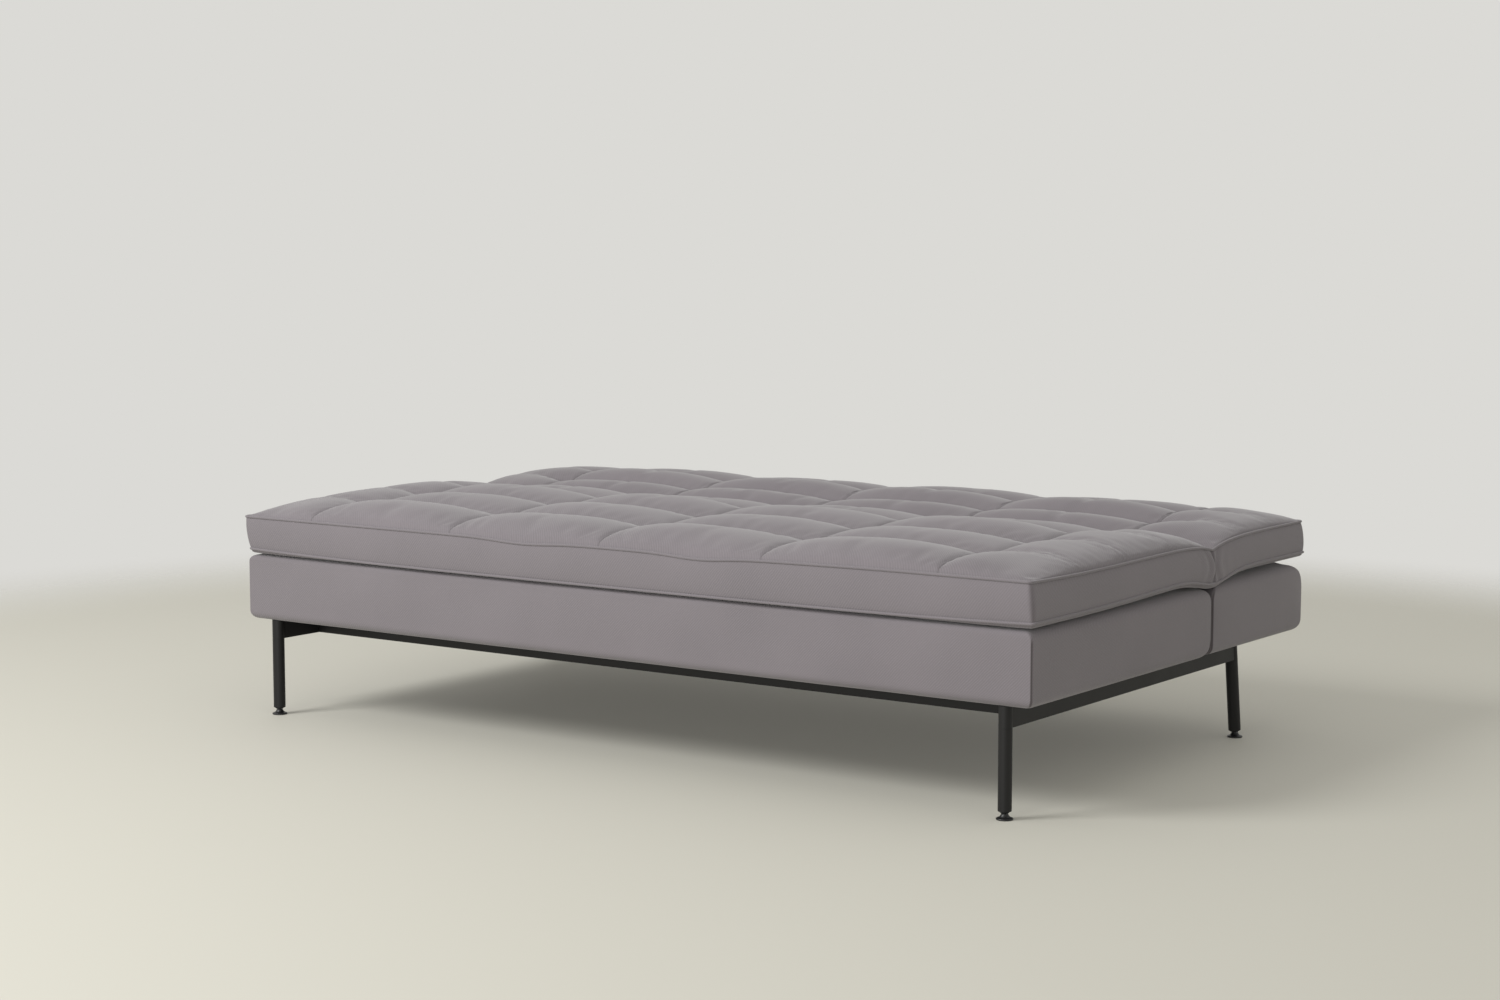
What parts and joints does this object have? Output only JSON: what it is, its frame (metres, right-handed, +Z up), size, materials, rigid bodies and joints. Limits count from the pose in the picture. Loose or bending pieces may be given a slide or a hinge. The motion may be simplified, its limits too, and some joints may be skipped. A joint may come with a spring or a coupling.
{
  "type": "futon sofa bed",
  "caption": "Armless two-seat sofa bed lying flat: upholstered seat and folding back on a slim steel underframe, with a tufted topper over both.",
  "frame": {"origin": "on the floor, under the middle of the bed", "axes": "+X along the bed's length, -Y towards the seat's front edge, +Z up"},
  "size_m": [1.9, 1.126, 0.455],
  "materials": {
    "upholstery": "matte",
    "foam": "matte",
    "dust_cloth": "matte",
    "frame_paint": "satin",
    "zinc_steel": "satin",
    "glide_plastic": "satin",
    "buffer_rubber": "matte",
    "pine": "matte",
    "slat_ply": "satin"
  },
  "bodies": {
    "frame": {"end_rail_left": "frame_paint", "end_rail_right": "frame_paint", "front_cross_rail": "frame_paint", "hinge_pin_left": "zinc_steel", "hinge_pin_right": "zinc_steel", "hinge_plate_left": "zinc_steel", "hinge_plate_right": "zinc_steel", "leg_front_left": "frame_paint", "leg_front_right": "frame_paint", "leg_inserts": "glide_plastic", "leg_rear_left": "frame_paint", "leg_rear_right": "frame_paint", "leg_socket_front_left": "frame_paint", "leg_socket_front_right": "frame_paint", "leg_socket_rear_left": "frame_paint", "leg_socket_rear_right": "frame_paint", "leg_studs": "zinc_steel", "middle_cross_rail": "frame_paint", "pawl_pins": "zinc_steel", "pawl_springs": "zinc_steel", "rear_cross_rail": "frame_paint", "rest_buffers": "buffer_rubber", "seat_batten": "pine", "seat_bolts": "zinc_steel", "seat_cover": "upholstery", "seat_dust_cloth": "dust_cloth", "seat_foam": "foam", "seat_front_beam": "pine", "seat_rear_beam": "pine", "seat_side_beam_left": "pine", "seat_side_beam_right": "pine", "seat_slats": "slat_ply", "topper_fold": "upholstery", "topper_seat": "upholstery"},
    "back": {"arm_bolts": "zinc_steel", "back_cover": "upholstery", "back_dust_cloth": "dust_cloth", "back_foam": "foam", "back_front_beam": "pine", "back_rear_beam": "pine", "back_side_beam_left": "pine", "back_side_beam_right": "pine", "back_slats": "slat_ply", "hinge_arm_left": "zinc_steel", "hinge_arm_right": "zinc_steel", "topper_back": "upholstery"},
    "pawl_left": {"pawl_left": "zinc_steel"},
    "pawl_right": {"pawl_right": "zinc_steel"},
    "pad_front_left": {"glide_pad_front_left": "glide_plastic"},
    "pad_front_right": {"glide_pad_front_right": "glide_plastic"},
    "pad_rear_left": {"glide_pad_rear_left": "glide_plastic"},
    "pad_rear_right": {"glide_pad_rear_right": "glide_plastic"},
    "stem_front_left": {"glide_stem_front_left": "zinc_steel"},
    "stem_front_right": {"glide_stem_front_right": "zinc_steel"},
    "stem_rear_left": {"glide_stem_rear_left": "zinc_steel"},
    "stem_rear_right": {"glide_stem_rear_right": "zinc_steel"}
  },
  "joints": [
    {"name": "back_recline", "type": "hinge", "parent": "frame", "child": "back", "pos_m": [0, 0.143, 0.325], "axis": [1, 0, 0], "range_deg": [0, 76], "deforming": ["topper_fold"]},
    {"name": "pawl_left_swing", "type": "hinge", "parent": "frame", "child": "pawl_left", "pos_m": [-0.8915, 0.09505, 0.31021], "axis": [1, 0, 0], "range_deg": [0, 7.5]},
    {"name": "pawl_right_swing", "type": "hinge", "parent": "frame", "child": "pawl_right", "pos_m": [0.8915, 0.09505, 0.31021], "axis": [1, 0, 0], "range_deg": [0, 7.5]},
    {"name": "glide_front_left_level", "type": "slide", "parent": "frame", "child": "stem_front_left", "axis": [0, 0, -1], "range_m": [0, 0.008]},
    {"name": "glide_front_left_tilt", "type": "hinge", "parent": "stem_front_left", "child": "pad_front_left", "pos_m": [-0.886, -0.5415, 0.0065], "axis": [1, 0, 0], "range_deg": [-10, 10]},
    {"name": "glide_front_right_level", "type": "slide", "parent": "frame", "child": "stem_front_right", "axis": [0, 0, -1], "range_m": [0, 0.008]},
    {"name": "glide_front_right_tilt", "type": "hinge", "parent": "stem_front_right", "child": "pad_front_right", "pos_m": [0.886, -0.5415, 0.0065], "axis": [1, 0, 0], "range_deg": [-10, 10]},
    {"name": "glide_rear_left_level", "type": "slide", "parent": "frame", "child": "stem_rear_left", "axis": [0, 0.1392, -0.9903], "range_m": [0, 0.008]},
    {"name": "glide_rear_left_tilt", "type": "hinge", "parent": "stem_rear_left", "child": "pad_rear_left", "pos_m": [-0.886, 0.39102, 0.0065], "axis": [1, 0, 0], "range_deg": [-2, 18]},
    {"name": "glide_rear_right_level", "type": "slide", "parent": "frame", "child": "stem_rear_right", "axis": [0, 0.1392, -0.9903], "range_m": [0, 0.008]},
    {"name": "glide_rear_right_tilt", "type": "hinge", "parent": "stem_rear_right", "child": "pad_rear_right", "pos_m": [0.886, 0.39102, 0.0065], "axis": [1, 0, 0], "range_deg": [-2, 18]}
  ]
}
